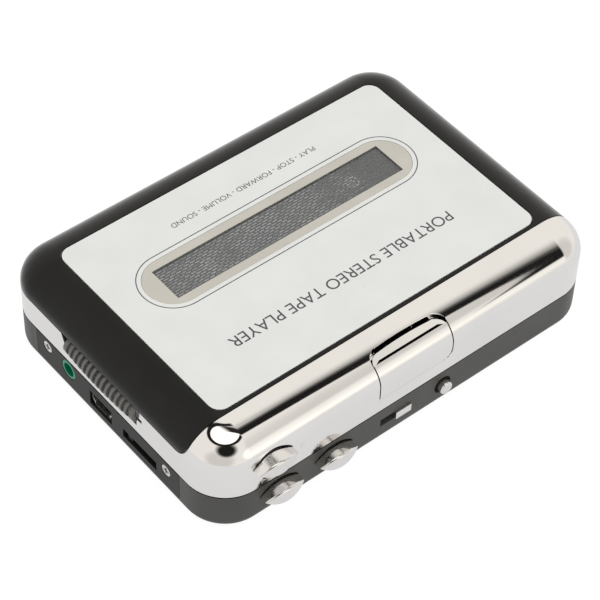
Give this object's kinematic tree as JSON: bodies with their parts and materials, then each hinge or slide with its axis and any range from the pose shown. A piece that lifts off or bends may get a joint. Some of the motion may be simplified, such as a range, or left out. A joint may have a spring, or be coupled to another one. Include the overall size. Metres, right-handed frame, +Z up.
{
  "type": "cassette player",
  "caption": "Pocket cassette player with a lift-up black door, silver panel and tape window, chrome frame, latch and keys, and side headphone and USB sockets.",
  "frame": {"origin": "middle of the flat bottom of the case", "axes": "+X along the long side, away from the sockets; -Y out of the control face with the keys; +Z up, out of the door"},
  "size_m": [0.1135, 0.0829, 0.0258],
  "materials": {
    "black_plastic": "satin moulded shell",
    "door_plastic": "fine satin",
    "port_plastic": "satin",
    "dark_insert": "matt black",
    "chrome_plate": "polished plating",
    "silver_sheet": "fine satin",
    "window_border": "smooth, champagne",
    "window_clear": "smoked clear",
    "window_screen": "perforated, dark",
    "jack_green": "moulded",
    "steel": "plain",
    "screw_steel": "bright",
    "spring_steel": "drawn wire",
    "roller_plastic": "ribbed",
    "board": "solder mask",
    "component_black": "epoxy",
    "capacitor_can": "sleeved",
    "spindle_plastic": "moulded",
    "flywheel_brass": "turned",
    "wheel_rubber": "matt",
    "belt_rubber": "matt",
    "head_metal": "polished",
    "contact_metal": "plated"
  },
  "bodies": {
    "case": {"rear_housing": "black_plastic", "battery_box": "dark_insert", "battery_cover": "black_plastic", "battery_springs": "spring_steel", "battery_contact_plates": "contact_metal", "case_screws": "screw_steel", "port_plate": "port_plastic", "port_plate_screws": "screw_steel", "headphone_jack_ring": "jack_green", "headphone_jack_body": "dark_insert", "usb_shell": "steel", "usb_tongue": "dark_insert", "bass_switch_body": "dark_insert", "volume_potentiometer": "dark_insert", "circuit_board": "board", "audio_chips": "component_black", "capacitors": "capacitor_can", "chrome_frame": "chrome_plate", "latch_pins": "steel", "latch_spring": "spring_steel", "latch_bracket": "steel", "key_springs": "spring_steel", "control_board": "board", "key_switches": "component_black", "stop_key_bracket": "steel", "mode_switch_body": "dark_insert", "hinge_pins": "steel", "chassis_plate": "steel", "drive_motor": "steel", "drive_belt": "belt_rubber"},
    "door": {"door_frame": "door_plastic", "door_panel": "silver_sheet", "window_bezel": "window_border", "window_lens": "window_clear", "window_mesh": "window_screen", "cassette_holder": "steel", "holder_springs": "spring_steel"},
    "latch": {"open_latch_button": "chrome_plate"},
    "stop_button": {"stop_key": "chrome_plate"},
    "play_button": {"play_key": "chrome_plate"},
    "fast_forward_button": {"fast_forward_key": "chrome_plate"},
    "direction_button": {"direction_key": "chrome_plate"},
    "bass_switch": {"bass_switch_knob": "dark_insert"},
    "mode_switch": {"mode_switch_knob": "chrome_plate"},
    "volume": {"volume_roller": "roller_plastic"},
    "motor_shaft": {"motor_pulley": "contact_metal"},
    "head_carriage": {"head_bridge": "steel", "tape_head": "head_metal"},
    "reel_left": {"reel_spindle_left": "spindle_plastic", "reel_wheel_left": "wheel_rubber"},
    "idler_left": {"idler_wheel_left": "wheel_rubber"},
    "capstan_drive_left": {"flywheel_left": "flywheel_brass", "capstan_left": "steel"},
    "pinch_left": {"pinch_roller_left": "wheel_rubber"},
    "reel_right": {"reel_spindle_right": "spindle_plastic", "reel_wheel_right": "wheel_rubber"},
    "idler_right": {"idler_wheel_right": "wheel_rubber"},
    "capstan_drive_right": {"flywheel_right": "flywheel_brass", "capstan_right": "steel"},
    "pinch_right": {"pinch_roller_right": "wheel_rubber"}
  },
  "joints": [
    {"name": "door_hinge", "type": "hinge", "parent": "case", "child": "door", "pos_m": [0, 0.0379, 0.0189], "axis": [-1, 0, 0], "range_deg": [0, 48]},
    {"name": "latch_press", "type": "hinge", "parent": "case", "child": "latch", "pos_m": [0, -0.0332, 0.0226], "axis": [1, 0, 0], "range_deg": [0, 4], "stiffness_Nm_per_rad": 0.05, "springref_deg": -2.86, "deforming": ["latch_spring"]},
    {"name": "stop_press", "type": "slide", "parent": "case", "child": "stop_button", "axis": [0, 1, 0], "range_m": [0, 0.002], "stiffness_N_per_m": 200, "springref_m": -0.001, "deforming": ["key_springs"]},
    {"name": "play_press", "type": "slide", "parent": "case", "child": "play_button", "axis": [0, 1, 0], "range_m": [0, 0.002], "stiffness_N_per_m": 200, "springref_m": -0.001, "deforming": ["key_springs"]},
    {"name": "fast_forward_press", "type": "slide", "parent": "case", "child": "fast_forward_button", "axis": [0, 1, 0], "range_m": [0, 0.002], "stiffness_N_per_m": 200, "springref_m": -0.001, "deforming": ["key_springs"]},
    {"name": "direction_press", "type": "slide", "parent": "case", "child": "direction_button", "axis": [0, 1, 0], "range_m": [0, 0.0012], "stiffness_N_per_m": 200, "springref_m": -0.001, "deforming": ["key_springs"]},
    {"name": "bass_slide", "type": "slide", "parent": "case", "child": "bass_switch", "axis": [0, -1, 0], "range_m": [0, 0.008]},
    {"name": "mode_slide", "type": "slide", "parent": "case", "child": "mode_switch", "axis": [-1, 0, 0], "range_m": [0, 0.0041]},
    {"name": "volume_turn", "type": "hinge", "parent": "case", "child": "volume", "pos_m": [-0.0549, 0.0017, 0.0159], "axis": [0, 1, 0], "range_deg": [-150, 150]},
    {"name": "capstan_right_spin", "type": "hinge", "parent": "case", "child": "capstan_drive_right", "pos_m": [0.0256, -0.018, 0.008], "axis": [0, 0, 1], "continuous": true},
    {"name": "capstan_left_spin", "type": "hinge", "parent": "case", "child": "capstan_drive_left", "pos_m": [-0.0256, -0.018, 0.008], "axis": [0, 0, 1], "continuous": true},
    {"name": "motor_spin", "type": "hinge", "parent": "case", "child": "motor_shaft", "pos_m": [0.036, 0.0245, 0.008], "axis": [0, 0, 1], "continuous": true},
    {"name": "idler_right_spin", "type": "hinge", "parent": "case", "child": "idler_right", "pos_m": [0.02364, -0.00618, 0.008], "axis": [0, 0, 1], "continuous": true},
    {"name": "idler_left_spin", "type": "hinge", "parent": "case", "child": "idler_left", "pos_m": [-0.02364, -0.00618, 0.008], "axis": [0, 0, 1], "continuous": true},
    {"name": "reel_right_spin", "type": "hinge", "parent": "case", "child": "reel_right", "pos_m": [0.02125, 0.0082, 0.008], "axis": [0, 0, 1], "continuous": true},
    {"name": "reel_left_spin", "type": "hinge", "parent": "case", "child": "reel_left", "pos_m": [-0.02125, 0.0082, 0.008], "axis": [0, 0, 1], "continuous": true},
    {"name": "head_advance", "type": "slide", "parent": "case", "child": "head_carriage", "axis": [0, 1, 0], "range_m": [0, 0.008]},
    {"name": "pinch_right_spin", "type": "hinge", "parent": "head_carriage", "child": "pinch_right", "pos_m": [0.0256, -0.0303, 0.008], "axis": [0, 0, 1], "continuous": true},
    {"name": "pinch_left_spin", "type": "hinge", "parent": "head_carriage", "child": "pinch_left", "pos_m": [-0.0256, -0.0303, 0.008], "axis": [0, 0, 1], "continuous": true}
  ],
  "couplings": [
    {"joint": "capstan_left_spin", "follows": "capstan_right_spin", "ratio": 1},
    {"joint": "motor_spin", "follows": "capstan_right_spin", "ratio": 5},
    {"joint": "idler_right_spin", "follows": "capstan_right_spin", "ratio": -0.55263},
    {"joint": "idler_left_spin", "follows": "capstan_right_spin", "ratio": -0.55263},
    {"joint": "reel_right_spin", "follows": "capstan_right_spin", "ratio": 0.61765},
    {"joint": "head_advance", "follows": "play_press", "ratio": 4}
  ]
}
